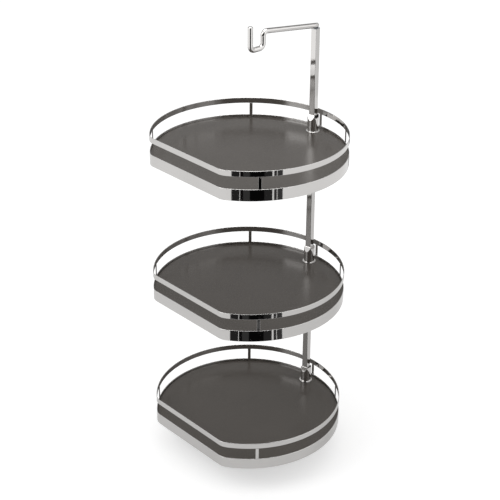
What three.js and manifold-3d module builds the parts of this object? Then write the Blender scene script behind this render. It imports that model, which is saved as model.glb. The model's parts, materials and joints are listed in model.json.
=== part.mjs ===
// Corner carousel: three D-shaped trays on an off-centre square column that turns about the trays' axis.
// Millimetres, +Z up. The origin is on the turning axis, at the underside of the floor bearing.
// The trays' straight edge faces -Y and the column stands at +Y.
import * as THREE from 'three';
import { mergeVertices } from 'three/addons/utils/BufferGeometryUtils.js';
import Module from 'manifold-3d';

// ---- Driving dimensions ----

const GAP = 0.3;                    // left between faces that rest on each other
const SLIDE_GAP = 0.4;              // between the column and a socket that slides on it
const EDGE_BREAK = 1;               // small chamfer on turned pieces
const CUT_MARGIN = 1;               // how far a cutting shape runs out of the piece it cuts

// Trays
const TRAYS = ['lower', 'middle', 'upper'];
const TRAY_PITCH = 457;             // from one tray to the next
const TRAY_RADIUS = 300;
const TRAY_SETBACK = 48;            // of the straight edge, inside the round one
const TRAY_CORNER = 45;             // radius where the straight edge meets the round one

const BAND_HEIGHT = 36;
const BAND_WALL = 2;
const BAND_LIP = 8;                 // how far the band stands above the board
const LEDGE_WIDTH = 8;              // inner ledge of the band, which carries the board
const LEDGE_WALL = 2;
const BOARD_THICKNESS = 16;
const RAIL_HEIGHT = 17.5;
const RAIL_WALL = 2;
const RAIL_CLEARANCE = 38.5;        // open height between the band and the rail

// Gallery posts, flat bars placed by their angle from the column, seen from above
const POST_ANGLES = { back: 0, right: -30, left: 47.5, front_right: -126, front_left: 129 };
const POST_WIDTH = 10;
const POST_THICKNESS = 2;
const POST_CORNER = 0.6;

// Column
const COLUMN_INSET = 35;            // of its axis, inside the trays' round edge
const COLUMN_TURN = 11;             // degrees, the square section's turn from the radial line
const COLUMN_SIDE = 20;
const COLUMN_WALL = 1.5;
const COLUMN_CORNER = 2;
const COLUMN_ABOVE_TRAY = 362;      // column top above the upper tray's underside
const PLUG_FLANGE = 2;
const PLUG_DEPTH = 22;
const STUD_RADIUS = 4;
const STUD_IN_ARM = 9;
const STUD_IN_PLUG = 18;

// Sockets
const SOCKET_RADIUS = 17.5;
const SOCKET_HEIGHT = 56;
const SOCKET_MOUTH_WALL = 1;        // wall left at the square mouth
const SOCKET_FLAT_DROP = 18;        // height over which each flat runs out into the round body
const FLANGE_RADIUS = 21.5;
const FLANGE_HEIGHT = 2;
const FLANGE_CHAMFER = 0.6;
const NECK_RADIUS = 15.5;           // goes down through the board
const NECK_CLEARANCE = 0.5;
const GRUB_RADIUS = 3;
const GRUB_HEIGHT = 26;             // of the grub screw above the board
const GRUB_KEY = 1.5;               // inradius of its hexagon socket
const GRUB_KEY_DEPTH = 2;

// Carrier plates and their screws
const PLATE_LENGTH = 165;
const PLATE_WIDTH = 60;
const PLATE_THICKNESS = 3;
const PLATE_CORNER = 12;
const PLATE_OVERHANG = 18;          // past the column's axis, towards the tray's edge
const PLATE_SCREW_INSET = 12;       // from the plate's long and inner edges
const PLATE_SCREW_SPACING = 95;     // along the plate
const PILOT_SPARE = 1;              // depth of a pilot hole past its screw's tip
const WOOD_SCREW = { radius: 2, reach: 12, headRadius: 4, headHeight: 2.4 };
const SCREW_FACE = 0.6;             // flat part of a screw head, as a share of its radius
const SCREW_DOME = 0.35;            // domed part of a screw head, as a share of its height

// Arms
const ROD_RADIUS = 8;
const ARM_OVERRUN = 6;              // past the column's axis
const ARM_SEAT = 0.5;               // depth of the flat where the rod sits on a plug
const ARM_RISE = 25;                // of the top arm, from the column to the crank
const ARM_BEND = 14;
const CRANK_WIDTH = 50;             // from the turning axis to the crank's other leg
const CRANK_DEPTH = 50;             // from the arm's end down to the crank's bottom
const PIN_LENGTH = 73;              // upper pin, from the crank's bottom to its tip
const PIN_CHAMFER = 2.5;
const LOWER_BEND = 20;
const LOWER_DROP = 36;              // lower pin's straight length below the bend
const ARM_TO_TRAY = 14;             // clear height between the lower arm and the lower tray

// Floor bearing
const BASE_RADIUS = 95;
const BASE_THICKNESS = 5;
const BASE_CHAMFER = 1.5;
const BASE_HOLE_RADIUS = 2.75;
const BASE_HOLE_CIRCLE = 78;
const HOUSING_RADIUS = 17;
const HOUSING_FLANGE_RADIUS = 34;
const HOUSING_FLANGE = 4;
const HOUSING_FLOOR = 3;
const HOUSING_HEIGHT = 32;
const HOUSING_SCREW_CIRCLE = 26;
const BUSH_WALL = 2.5;
const BUSH_FLANGE = 2;
const PIN_CLEARANCE = 0.35;         // running clearance round the lower pin
const WASHER_THICKNESS = 3;
const MACHINE_SCREW = { radius: 2, reach: 3.5, headRadius: 3.8, headHeight: 2.6 };

// How finely round shapes are cut into flats
const ROUND_STEPS = 50;             // along a tray's round edge
const CORNER_STEPS = 4;
const TURNED_STEPS = 28;
const ROD_STEPS = 12;
const SCREW_STEPS = 8;
const TOP_ARM_STEPS = 60;
const LOWER_ARM_STEPS = 36;

// ---- Sizes that follow from them ----

const COLUMN_OFFSET = TRAY_RADIUS - COLUMN_INSET;   // from the turning axis
const RAIL_BOTTOM = BAND_HEIGHT + RAIL_CLEARANCE;
const RAIL_TOP = RAIL_BOTTOM + RAIL_HEIGHT;
const BOARD_TOP = BAND_HEIGHT - BAND_LIP;
const BOARD_BOTTOM = BOARD_TOP - BOARD_THICKNESS;
const PLATE_TOP = BOARD_BOTTOM - GAP;
const PLATE_BOTTOM = PLATE_TOP - PLATE_THICKNESS;
const WASHER_BOTTOM = BASE_THICKNESS + HOUSING_FLOOR + 2 * GAP;
const LOWER_PIN_TIP = WASHER_BOTTOM + WASHER_THICKNESS + GAP;
const LOWER_ARM_Z = LOWER_PIN_TIP + LOWER_DROP + LOWER_BEND;
const COLUMN_FOOT = LOWER_ARM_Z + ROD_RADIUS - ARM_SEAT;
const LOWER_TRAY_Z = LOWER_ARM_Z + ROD_RADIUS + ARM_TO_TRAY;
const UPPER_TRAY_Z = LOWER_TRAY_Z + (TRAYS.length - 1) * TRAY_PITCH;
const COLUMN_TOP = UPPER_TRAY_Z + COLUMN_ABOVE_TRAY;
const UPPER_ARM_Z = COLUMN_TOP + ROD_RADIUS - ARM_SEAT;
const COLUMN_BORE = COLUMN_SIDE - 2 * COLUMN_WALL;

// ---- Materials ----

const chrome = new THREE.MeshStandardMaterial({ color: 0xd6d8da, roughness: 0.1, metalness: 1 });
const zinc = new THREE.MeshStandardMaterial({ color: 0xb3b7ba, roughness: 0.35, metalness: 1 });
const laminate = new THREE.MeshStandardMaterial({ color: 0x56534f, roughness: 0.42, metalness: 0 });
const nylon = new THREE.MeshStandardMaterial({ color: 0xe4e2da, roughness: 0.55, metalness: 0 });

// ---- Solids: joining and cutting ----

const wasm = await Module();
wasm.setup();

function toSolid(geometry) {
  const bare = geometry.clone();
  bare.deleteAttribute('normal');
  bare.deleteAttribute('uv');
  const merged = mergeVertices(bare, 1e-4);
  const mesh = new wasm.Mesh({
    numProp: 3,
    vertProperties: merged.attributes.position.array,
    triVerts: new Uint32Array(merged.index.array),
  });
  return new wasm.Manifold(mesh);
}

function toGeometry(solid) {
  const mesh = solid.getMesh();
  const geometry = new THREE.BufferGeometry();
  geometry.setAttribute('position', new THREE.BufferAttribute(new Float32Array(mesh.vertProperties), 3));
  geometry.setIndex(new THREE.BufferAttribute(new Uint32Array(mesh.triVerts), 1));
  return geometry;
}

function cut(geometry, ...tools) {
  const solid = tools.reduce((rest, tool) => rest.subtract(toSolid(tool)), toSolid(geometry));
  return toGeometry(solid);
}

function join(...geometries) {
  const solid = geometries.map(toSolid).reduce((whole, piece) => whole.add(piece));
  return toGeometry(solid);
}

// ---- Basic shapes, all standing on their stated bottom height ----

const radians = THREE.MathUtils.degToRad;

// A solid of revolution about Z. The profile lists [radius, height] from the axis round to the axis.
function turned(profile, steps = TURNED_STEPS) {
  const points = profile.map(([radius, height]) => new THREE.Vector2(radius, height));
  return new THREE.LatheGeometry(points, steps).rotateX(Math.PI / 2);
}

function disc(radius, bottom, top, steps = TURNED_STEPS) {
  return turned([[0, bottom], [radius, bottom], [radius, top], [0, top]], steps);
}

function prism(shape, bottom, top) {
  const options = { depth: top - bottom, bevelEnabled: false, curveSegments: CORNER_STEPS };
  return new THREE.ExtrudeGeometry(shape, options).translate(0, 0, bottom);
}

function roundedRectangle(width, length, corner) {
  const x = width / 2;
  const y = length / 2;
  const shape = new THREE.Shape();
  shape.absarc(x - corner, y - corner, corner, 0, Math.PI / 2);
  shape.absarc(corner - x, y - corner, corner, Math.PI / 2, Math.PI);
  shape.absarc(corner - x, corner - y, corner, Math.PI, 1.5 * Math.PI);
  shape.absarc(x - corner, corner - y, corner, 1.5 * Math.PI, 2 * Math.PI);
  return shape;
}

// A screw pointing up, with its round head under z = 0.
function screw({ radius, reach, headRadius, headHeight }) {
  const rim = headHeight * (1 - SCREW_DOME);
  return turned([
    [0, -headHeight], [headRadius * SCREW_FACE, -headHeight], [headRadius, -rim],
    [headRadius, 0], [radius, 0], [radius, reach], [0, reach + radius],
  ], SCREW_STEPS);
}

// A round rod along a line of corners in the plane x = 0, each corner rounded to the bend radius.
function bentRod(corners, bend, steps) {
  const points = corners.map(([y, z]) => new THREE.Vector3(0, y, z));
  const path = new THREE.CurvePath();
  let from = points[0];
  for (let i = 1; i < points.length - 1; i += 1) {
    const corner = points[i];
    const back = points[i - 1].clone().sub(corner).normalize();
    const ahead = points[i + 1].clone().sub(corner).normalize();
    const turn = Math.PI - back.angleTo(ahead);
    const tangent = bend * Math.tan(turn / 2);
    const handle = tangent - (4 / 3) * bend * Math.tan(turn / 4);
    const at = (side, distance) => side.clone().multiplyScalar(distance).add(corner);
    path.add(new THREE.LineCurve3(from, at(back, tangent)));
    const [start, pull, push, end] = [at(back, tangent), at(back, handle), at(ahead, handle), at(ahead, tangent)];
    path.add(new THREE.CubicBezierCurve3(start, pull, push, end));
    from = at(ahead, tangent);
  }
  path.add(new THREE.LineCurve3(from, points[points.length - 1]));
  const section = new THREE.Shape();
  section.absarc(0, 0, ROD_RADIUS, 0, 2 * Math.PI);
  return new THREE.ExtrudeGeometry(section, { steps, extrudePath: path, curveSegments: ROD_STEPS / 2 });
}

// ---- Tray outline ----

const CORNER_Y = TRAY_CORNER + TRAY_SETBACK - TRAY_RADIUS;
const CORNER_X = Math.sqrt((TRAY_RADIUS - TRAY_CORNER) ** 2 - CORNER_Y ** 2);
const ROUND_START = Math.atan2(CORNER_Y, CORNER_X);
const ROUND_STEP = (Math.PI - 2 * ROUND_START) / ROUND_STEPS;
const ROUND_SAG = TRAY_RADIUS * (1 - Math.cos(ROUND_STEP / 2));   // of each flat inside the round edge

// The D-shaped outline, set in from the tray's edge, anticlockwise from the right-hand corner.
function trayOutline(inset) {
  const corner = TRAY_CORNER - inset;
  const points = [];
  const arc = (x, y, radius, from, to, steps) => {
    for (let i = 0; i < steps; i += 1) {
      const angle = from + ((to - from) * i) / steps;
      points.push(new THREE.Vector2(x + radius * Math.cos(angle), y + radius * Math.sin(angle)));
    }
  };
  arc(0, 0, TRAY_RADIUS - inset, ROUND_START, Math.PI - ROUND_START, ROUND_STEPS);
  arc(-CORNER_X, CORNER_Y, corner, Math.PI - ROUND_START, 1.5 * Math.PI, CORNER_STEPS);
  points.push(new THREE.Vector2(-CORNER_X, CORNER_Y - corner));
  arc(CORNER_X, CORNER_Y, corner, -0.5 * Math.PI, ROUND_START, CORNER_STEPS);
  return points;
}

function trayRing(outer, inner, bottom, top) {
  const shape = new THREE.Shape(trayOutline(outer));
  shape.holes.push(new THREE.Path(trayOutline(inner)));
  return prism(shape, bottom, top);
}

// ---- Assembly ----

const carousel = new THREE.Group();

function place(group, name, geometry, material, x = 0, y = 0, z = 0) {
  const mesh = new THREE.Mesh(geometry, material);
  mesh.name = name;
  mesh.position.set(x, y, z);
  group.add(mesh);
}

// A group on the column's axis, turned with its square section.
function columnGroup(parent) {
  const group = new THREE.Group();
  group.position.y = COLUMN_OFFSET;
  group.rotation.z = radians(COLUMN_TURN);
  parent.add(group);
  return group;
}

// Where a tool made about the column's axis goes when it cuts a piece made about the turning axis.
function aboutColumn(geometry) {
  return geometry.rotateZ(radians(COLUMN_TURN)).translate(0, COLUMN_OFFSET, 0);
}

function columnHole(bottom, top) {
  const side = COLUMN_SIDE + 2 * SLIDE_GAP;
  return prism(roundedRectangle(side, side, COLUMN_CORNER), bottom, top);
}

// ---- Trays ----

function edgeBand() {
  const strip = trayRing(0, BAND_WALL, 0, BAND_HEIGHT);
  const ledgeTop = BOARD_BOTTOM - GAP;
  const ledge = trayRing(BAND_WALL / 2, BAND_WALL + LEDGE_WIDTH, ledgeTop - LEDGE_WALL, ledgeTop);
  return join(strip, ledge);
}

function galleryRail() {
  return trayRing(0, RAIL_WALL, RAIL_BOTTOM, RAIL_TOP);
}

// Stands on the band's upper edge, in line with its wall, and carries the rail.
function galleryPost(angle) {
  return prism(roundedRectangle(POST_WIDTH, POST_THICKNESS, POST_CORNER), BAND_HEIGHT + GAP, RAIL_BOTTOM - GAP)
    .translate(0, TRAY_RADIUS - ROUND_SAG - POST_THICKNESS / 2, 0).rotateZ(radians(angle));
}

// The four carrier plate screws, as [x, y] in the tray.
function plateScrewPlaces() {
  const x = PLATE_WIDTH / 2 - PLATE_SCREW_INSET;
  const y = COLUMN_OFFSET + PLATE_OVERHANG - PLATE_LENGTH + PLATE_SCREW_INSET;
  return [[-x, y], [x, y], [-x, y + PLATE_SCREW_SPACING], [x, y + PLATE_SCREW_SPACING]];
}

function board() {
  const slab = prism(new THREE.Shape(trayOutline(BAND_WALL + GAP)), BOARD_BOTTOM, BOARD_TOP);
  const neckHole = disc(NECK_RADIUS + NECK_CLEARANCE, BOARD_BOTTOM - CUT_MARGIN, BOARD_TOP + CUT_MARGIN);
  const { radius, reach } = WOOD_SCREW;
  const screwTip = PLATE_BOTTOM - GAP + reach + radius;
  const pilots = plateScrewPlaces().map(([x, y]) => (
    disc(radius + GAP, BOARD_BOTTOM - CUT_MARGIN, screwTip + PILOT_SPARE, SCREW_STEPS).translate(x, y, 0)
  ));
  return cut(slab, aboutColumn(neckHole), ...pilots);
}

function carrierPlate() {
  const centre = COLUMN_OFFSET + PLATE_OVERHANG - PLATE_LENGTH / 2;
  const outline = roundedRectangle(PLATE_WIDTH, PLATE_LENGTH, PLATE_CORNER);
  const plate = prism(outline, PLATE_BOTTOM, PLATE_TOP).translate(0, centre, 0);
  const holes = plateScrewPlaces().map(([x, y]) => (
    disc(WOOD_SCREW.radius + GAP, PLATE_BOTTOM - CUT_MARGIN, PLATE_TOP + CUT_MARGIN, SCREW_STEPS)
      .translate(x, y, 0)
  ));
  return cut(plate, aboutColumn(columnHole(PLATE_BOTTOM - CUT_MARGIN, PLATE_TOP + CUT_MARGIN)), ...holes);
}

// Made about the column's axis, with its height measured from the board's top.
function socket() {
  const neckBottom = PLATE_TOP - BOARD_TOP + GAP;
  const body = turned([
    [0, neckBottom], [NECK_RADIUS, neckBottom], [NECK_RADIUS, GAP], [FLANGE_RADIUS, GAP],
    [FLANGE_RADIUS, FLANGE_HEIGHT - FLANGE_CHAMFER], [FLANGE_RADIUS - FLANGE_CHAMFER, FLANGE_HEIGHT],
    [SOCKET_RADIUS, FLANGE_HEIGHT], [SOCKET_RADIUS, SOCKET_HEIGHT], [0, SOCKET_HEIGHT],
  ]);
  const mouth = COLUMN_SIDE / 2 + SLIDE_GAP + SOCKET_MOUTH_WALL;
  const margin = CUT_MARGIN * (SOCKET_RADIUS - mouth) / SOCKET_FLAT_DROP;
  const wedge = new THREE.Shape([
    new THREE.Vector2(mouth - margin, SOCKET_HEIGHT + CUT_MARGIN),
    new THREE.Vector2(SOCKET_RADIUS + margin, SOCKET_HEIGHT - SOCKET_FLAT_DROP - CUT_MARGIN),
    new THREE.Vector2(SOCKET_RADIUS * 2, SOCKET_HEIGHT + CUT_MARGIN),
  ]);
  const flats = [0, 1, 2, 3].map((quarter) => (
    prism(wedge, -FLANGE_RADIUS, FLANGE_RADIUS).rotateX(Math.PI / 2).rotateZ(quarter * Math.PI / 2)
  ));
  const grubHole = disc(GRUB_RADIUS + GAP, 0, FLANGE_RADIUS, SCREW_STEPS)
    .rotateY(-Math.PI / 2).translate(0, 0, GRUB_HEIGHT);
  return cut(body, ...flats, columnHole(neckBottom - CUT_MARGIN, SOCKET_HEIGHT + CUT_MARGIN), grubHole);
}

// Lies along -X from the column's face, just below the socket's surface, with its key hole outwards.
function grubScrew() {
  const from = COLUMN_SIDE / 2 + SLIDE_GAP;
  const to = SOCKET_RADIUS - GRUB_KEY;
  const body = turned([
    [0, from], [GRUB_RADIUS - EDGE_BREAK, from], [GRUB_RADIUS, from + EDGE_BREAK], [GRUB_RADIUS, to], [0, to],
  ], SCREW_STEPS);
  const key = disc(GRUB_KEY, to - GRUB_KEY_DEPTH, to + CUT_MARGIN, 6);
  return cut(body, key).rotateY(-Math.PI / 2).translate(0, 0, GRUB_HEIGHT);
}

TRAYS.forEach((level, index) => {
  const tray = new THREE.Group();
  tray.position.z = LOWER_TRAY_Z + index * TRAY_PITCH;
  carousel.add(tray);

  place(tray, `${level}_board`, board(), laminate);
  place(tray, `${level}_edge_band`, edgeBand(), chrome);
  place(tray, `${level}_gallery_rail`, galleryRail(), chrome);
  Object.entries(POST_ANGLES).forEach(([side, angle]) => {
    place(tray, `${level}_post_${side}`, galleryPost(angle), chrome);
  });

  place(tray, `${level}_carrier_plate`, carrierPlate(), zinc);
  plateScrewPlaces().forEach(([x, y], number) => {
    place(tray, `${level}_plate_screw_${number + 1}`, screw(WOOD_SCREW), zinc, x, y, PLATE_BOTTOM - GAP);
  });

  const collar = columnGroup(tray);
  collar.position.z = BOARD_TOP;
  place(collar, `${level}_socket`, socket(), chrome);
  place(collar, `${level}_grub_screw`, grubScrew(), zinc);
});

// ---- Column ----

function columnTube() {
  const outline = roundedRectangle(COLUMN_SIDE, COLUMN_SIDE, COLUMN_CORNER);
  outline.holes.push(roundedRectangle(COLUMN_BORE, COLUMN_BORE, COLUMN_CORNER / 2));
  return prism(outline, COLUMN_FOOT + PLUG_FLANGE, COLUMN_TOP - PLUG_FLANGE);
}

// A plug for the tube's end, with its outer face at z = 0 and its body below.
function columnPlug() {
  const flange = prism(roundedRectangle(COLUMN_SIDE, COLUMN_SIDE, COLUMN_CORNER), GAP - PLUG_FLANGE, 0);
  const side = COLUMN_BORE - 2 * GAP;
  const stem = prism(roundedRectangle(side, side, COLUMN_CORNER / 2), -PLUG_DEPTH, -PLUG_FLANGE / 2);
  return cut(join(flange, stem), disc(STUD_RADIUS + GAP, GAP - STUD_IN_PLUG, CUT_MARGIN, SCREW_STEPS));
}

function stud() {
  return disc(STUD_RADIUS, 2 * GAP - STUD_IN_PLUG, STUD_IN_ARM, SCREW_STEPS);
}

const column = columnGroup(carousel);
place(column, 'column', columnTube(), chrome);
place(column, 'column_top_plug', columnPlug(), zinc, 0, 0, COLUMN_TOP);
place(column, 'top_arm_stud', stud(), zinc, 0, 0, COLUMN_TOP);
place(column, 'column_foot_plug', columnPlug().rotateX(Math.PI), zinc, 0, 0, COLUMN_FOOT);
place(column, 'lower_arm_stud', stud().rotateX(Math.PI), zinc, 0, 0, COLUMN_FOOT);

// ---- Arms ----

// Removes the flat and the stud hole from an arm where it sits on a plug, above (1) or below it (-1).
function seatArm(arm, seat, side) {
  const reach = COLUMN_SIDE;
  const depth = 2 * ROD_RADIUS;
  const pad = new THREE.BoxGeometry(2 * reach, 2 * reach, depth)
    .translate(0, COLUMN_OFFSET, seat + side * (GAP - depth / 2));
  const hole = disc(STUD_RADIUS + GAP, -CUT_MARGIN, STUD_IN_ARM + GAP, SCREW_STEPS)
    .rotateX(side > 0 ? 0 : Math.PI).translate(0, COLUMN_OFFSET, seat);
  return cut(arm, pad, hole);
}

// The ring of material that a chamfer takes off a pin's tip.
function chamferRing(tip, direction) {
  const outer = ROD_RADIUS * 2;
  const ring = new THREE.LatheGeometry([
    new THREE.Vector2(ROD_RADIUS - PIN_CHAMFER, 0),
    new THREE.Vector2(ROD_RADIUS, -PIN_CHAMFER),
    new THREE.Vector2(outer, ROD_RADIUS - outer - PIN_CHAMFER),
    new THREE.Vector2(outer, CUT_MARGIN),
    new THREE.Vector2(ROD_RADIUS - PIN_CHAMFER, CUT_MARGIN),
    new THREE.Vector2(ROD_RADIUS - PIN_CHAMFER, 0),
  ], TURNED_STEPS).rotateX(Math.PI / 2);
  return ring.rotateX(direction > 0 ? 0 : Math.PI).translate(0, 0, tip);
}

function topArm() {
  const slope = ARM_RISE / (COLUMN_OFFSET - CRANK_WIDTH);
  const crankTop = UPPER_ARM_Z + ARM_RISE;
  const crankBottom = crankTop - CRANK_DEPTH;
  const tip = crankBottom + PIN_LENGTH;
  const rod = bentRod([
    [COLUMN_OFFSET + ARM_OVERRUN, UPPER_ARM_Z - slope * ARM_OVERRUN],
    [CRANK_WIDTH, crankTop], [CRANK_WIDTH, crankBottom], [0, crankBottom], [0, tip],
  ], ARM_BEND, TOP_ARM_STEPS);
  return cut(seatArm(rod, COLUMN_TOP, 1), chamferRing(tip, 1));
}

function lowerArm() {
  const rod = bentRod([
    [COLUMN_OFFSET + ARM_OVERRUN, LOWER_ARM_Z], [0, LOWER_ARM_Z], [0, LOWER_PIN_TIP],
  ], LOWER_BEND, LOWER_ARM_STEPS);
  return cut(seatArm(rod, COLUMN_FOOT, -1), chamferRing(LOWER_PIN_TIP, -1));
}

place(carousel, 'top_arm', topArm(), chrome);
place(carousel, 'lower_arm', lowerArm(), chrome);

// ---- Floor bearing ----

const HOUSING_BASE = BASE_THICKNESS + GAP;
const SCREW_SEAT = HOUSING_BASE + HOUSING_FLANGE + GAP;
const BUSH_RADIUS = ROD_RADIUS + PIN_CLEARANCE + BUSH_WALL;

function aroundAxis(count, radius, offset = 0) {
  return Array.from({ length: count }, (_, index) => {
    const angle = offset + (2 * Math.PI * index) / count;
    return [radius * Math.cos(angle), radius * Math.sin(angle)];
  });
}

const housingScrewPlaces = aroundAxis(3, HOUSING_SCREW_CIRCLE, Math.PI / 2);

function basePlate() {
  const plate = turned([
    [0, 0], [BASE_RADIUS, 0], [BASE_RADIUS, BASE_THICKNESS - BASE_CHAMFER],
    [BASE_RADIUS - BASE_CHAMFER, BASE_THICKNESS], [0, BASE_THICKNESS],
  ]);
  const floorHole = turned([
    [0, -CUT_MARGIN], [BASE_HOLE_RADIUS, -CUT_MARGIN],
    [BASE_HOLE_RADIUS, BASE_THICKNESS - BASE_HOLE_RADIUS],
    [2 * BASE_HOLE_RADIUS + CUT_MARGIN, BASE_THICKNESS + CUT_MARGIN], [0, BASE_THICKNESS + CUT_MARGIN],
  ], SCREW_STEPS);
  const floorHoles = aroundAxis(4, BASE_HOLE_CIRCLE, Math.PI / 4)
    .map(([x, y]) => floorHole.clone().translate(x, y, 0));
  const { radius, reach } = MACHINE_SCREW;
  const tappedBottom = SCREW_SEAT - HOUSING_FLANGE - reach - radius - GAP;
  const tapped = housingScrewPlaces.map(([x, y]) => (
    disc(radius + GAP, tappedBottom, BASE_THICKNESS + CUT_MARGIN, SCREW_STEPS).translate(x, y, 0)
  ));
  return cut(plate, ...floorHoles, ...tapped);
}

function bearingHousing() {
  const bore = BUSH_RADIUS + GAP;
  const top = HOUSING_BASE + HOUSING_HEIGHT;
  const body = turned([
    [0, HOUSING_BASE], [HOUSING_FLANGE_RADIUS, HOUSING_BASE],
    [HOUSING_FLANGE_RADIUS, HOUSING_BASE + HOUSING_FLANGE], [HOUSING_RADIUS, HOUSING_BASE + HOUSING_FLANGE],
    [HOUSING_RADIUS, top - EDGE_BREAK], [HOUSING_RADIUS - EDGE_BREAK, top], [bore, top],
    [bore, HOUSING_BASE + HOUSING_FLOOR], [0, HOUSING_BASE + HOUSING_FLOOR],
  ]);
  const holes = housingScrewPlaces.map(([x, y]) => (
    disc(MACHINE_SCREW.radius + GAP, 0, SCREW_SEAT + CUT_MARGIN, SCREW_STEPS).translate(x, y, 0)
  ));
  return cut(body, ...holes);
}

// A flanged sleeve between the lower pin and its housing.
function bush() {
  const top = HOUSING_BASE + HOUSING_HEIGHT + GAP;
  const inner = ROD_RADIUS + PIN_CLEARANCE;
  const flangeRadius = BUSH_RADIUS + BUSH_WALL;
  const bottom = LOWER_PIN_TIP + GAP;
  return turned([
    [inner, bottom], [BUSH_RADIUS, bottom], [BUSH_RADIUS, top], [flangeRadius, top],
    [flangeRadius, top + BUSH_FLANGE], [inner, top + BUSH_FLANGE], [inner, bottom],
  ]);
}

function housingScrew() {
  return screw(MACHINE_SCREW).rotateX(Math.PI);
}

place(carousel, 'base_plate', basePlate(), zinc);
place(carousel, 'bearing_housing', bearingHousing(), zinc);
place(carousel, 'bearing_bush', bush(), nylon);
place(carousel, 'thrust_washer', disc(BUSH_RADIUS - GAP, WASHER_BOTTOM, LOWER_PIN_TIP - GAP), nylon);
housingScrewPlaces.forEach(([x, y], number) => {
  place(carousel, `housing_screw_${number + 1}`, housingScrew(), zinc, x, y, SCREW_SEAT);
});

export default carousel;
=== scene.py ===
"""Looks for a corner carousel: three D-shaped trays on a square column that turns about their axis.

Lengths are in metres, in the frame's axes: +Z is up, the turning axis is x = y = 0, and the column
stands at +Y. Every new piece takes the place of one solid of the frame and rides on that solid's body.
"""

import json
from math import atan2, cos, pi, radians, sin, sqrt

import bpy
import numpy as np
from bpy.props import FloatProperty, FloatVectorProperty, PointerProperty
from mathutils import Matrix, Vector


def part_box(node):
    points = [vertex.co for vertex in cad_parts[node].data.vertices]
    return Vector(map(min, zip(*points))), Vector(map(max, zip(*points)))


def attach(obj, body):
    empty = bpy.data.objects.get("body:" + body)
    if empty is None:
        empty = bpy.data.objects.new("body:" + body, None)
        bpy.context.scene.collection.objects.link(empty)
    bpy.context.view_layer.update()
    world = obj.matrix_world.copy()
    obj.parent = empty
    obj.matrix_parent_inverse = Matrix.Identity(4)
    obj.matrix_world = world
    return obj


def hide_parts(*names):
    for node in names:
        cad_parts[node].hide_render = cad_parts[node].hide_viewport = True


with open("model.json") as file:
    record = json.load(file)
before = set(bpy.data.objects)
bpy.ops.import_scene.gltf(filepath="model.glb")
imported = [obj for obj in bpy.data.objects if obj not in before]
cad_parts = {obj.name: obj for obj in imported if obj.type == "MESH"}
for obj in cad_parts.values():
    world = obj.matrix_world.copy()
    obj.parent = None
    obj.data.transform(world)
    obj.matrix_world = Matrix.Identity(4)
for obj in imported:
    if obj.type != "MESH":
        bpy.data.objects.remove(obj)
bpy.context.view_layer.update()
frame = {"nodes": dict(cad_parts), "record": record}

bl_info = {
    "name": "Corner carousel",
    "version": (1, 0, 0),
    "blender": (4, 5, 0),
    "location": "View3D > Sidebar > Carousel",
    "description": "Builds a three-tray corner carousel and its finishes",
    "category": "Object",
}

LEVELS = ("lower", "middle", "upper")
BODY_OF = {node: body for body, nodes in frame["record"]["behaviour"]["bodies"].items() for node in nodes}
SLOT_OF = {part["node"]: part["material_slot"] for part in frame["record"]["subparts"]}

GAP = 0.0003                # left between faces that rest on each other
SLIDE_GAP = 0.0004          # between the column and a socket that slides on it
SUPPORT = 0.00015           # from the end of an eased corner to the point that keeps the flat beside it flat
HAIRLINE = 0.0002           # radius of an edge that looks sharp
BROKEN_EDGE = 0.0003        # size of an edge that is only just broken
ARM_SEAT = 0.0005           # depth of the flat where an arm sits on a plug
NECK_CLEARANCE = 0.0005     # round a socket's neck in its board
CUT_MARGIN = 0.001          # how far a drill runs past the face that it cuts

ROUND_STEPS = 300           # along a tray's round edge
CORNER_STEPS = 28           # along each of its corners
STRAIGHT_STEPS = 24         # along its straight edge
BEND_STEPS = 24             # along a rod's bend
ROD_STEPS = 48              # round a rod


# ---- Sizes and colours that can be changed ----

def length(name, default, description):
    """A length in metres, shown in the scene's units."""
    return FloatProperty(name=name, description=description, default=default, min=0, precision=4,
                         unit="LENGTH", subtype="DISTANCE")


def angle(name, default, description):
    """An angle, written here in degrees."""
    return FloatProperty(name=name, description=description, default=radians(default), subtype="ANGLE")


def share(name, default, description):
    """A number from 0 to 1."""
    return FloatProperty(name=name, description=description, default=default, min=0, max=1, subtype="FACTOR")


def colour(name, default, description):
    """A linear colour."""
    return FloatVectorProperty(name=name, description=description, default=default, min=0, max=1,
                               size=3, subtype="COLOR")


BAND_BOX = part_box("lower_edge_band")
COLUMN_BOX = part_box("column")
TOP_ARM_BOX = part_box("top_arm")
LOWER_ARM_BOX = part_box("lower_arm")


class TraySizes(bpy.types.PropertyGroup):
    radius: length("Radius", BAND_BOX[1].x, "From the turning axis to the round edge")
    flat: length("Straight edge", -BAND_BOX[0].y, "From the turning axis to the straight edge")
    corner: length("Corner", 0.045, "Radius where the straight edge meets the round one")
    band_height: length("Band height", 0.036, "Height of the edge band")
    band_wall: length("Band wall", 0.002, "Thickness of the edge band")
    band_edge: length("Band edge", 0.0008, "Radius of the band's upper and lower edges")
    lip: length("Lip", 0.008, "How far the band stands above the board")
    ledge_width: length("Ledge width", 0.008, "Width of the ledge that carries the board")
    ledge_wall: length("Ledge wall", 0.002, "Thickness of the ledge")
    board: length("Board", 0.016, "Thickness of the board")
    board_edge: length("Board edge", 0.0012, "Radius of the board's upper edge")
    rail_bottom: length("Rail clearance", 0.0745, "From the tray's underside to the rail")
    rail_height: length("Rail height", 0.0175, "Height of the gallery rail")
    rail_wall: length("Rail wall", 0.002, "Thickness of the gallery rail")
    post_width: length("Post width", 0.010, "Width of a gallery post, along the rail")
    post_thickness: length("Post thickness", 0.002, "Thickness of a gallery post")
    post_edge: length("Post edge", 0.0007, "Radius of a post's upright edges")


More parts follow.
